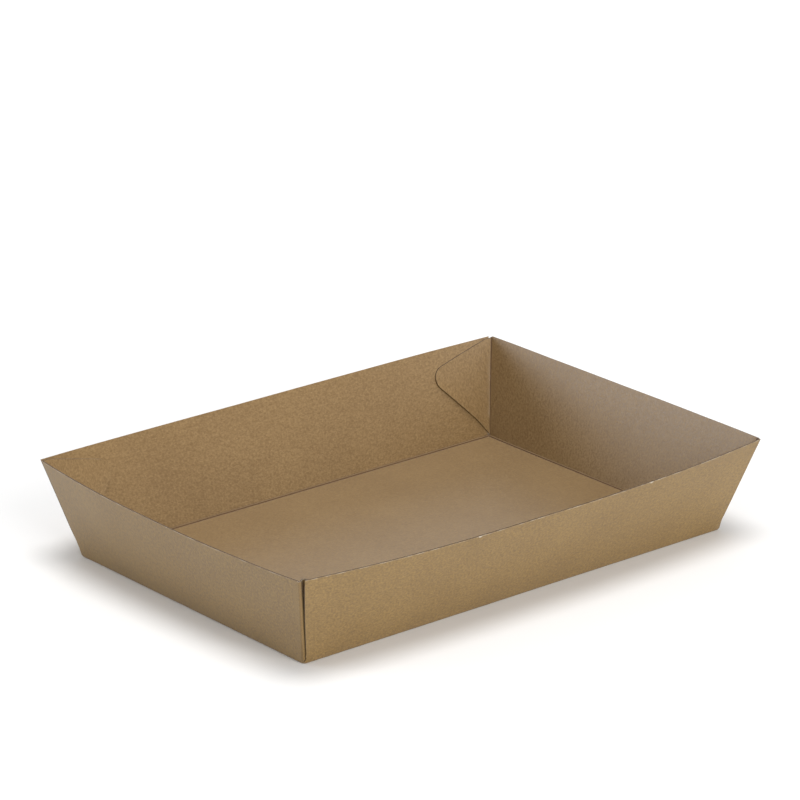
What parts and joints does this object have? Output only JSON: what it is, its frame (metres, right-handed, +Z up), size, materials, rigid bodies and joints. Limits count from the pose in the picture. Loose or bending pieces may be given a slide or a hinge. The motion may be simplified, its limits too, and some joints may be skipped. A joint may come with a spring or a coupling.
{
  "type": "cardboard tray box",
  "caption": "Open rectangular food tray folded from one sheet of brown kraft board, with flared walls, bowed rims and glued corner tabs.",
  "frame": {"origin": "centre of the underside, on the surface that the tray stands on", "axes": "+X along the tray's length, +Y across its width, +Z up out of its open side"},
  "size_m": [0.26, 0.1884, 0.0432],
  "materials": {
    "kraft_board": "uncoated matte kraft board"
  },
  "bodies": {
    "root": {"folded_tray": "kraft_board"}
  },
  "joints": []
}
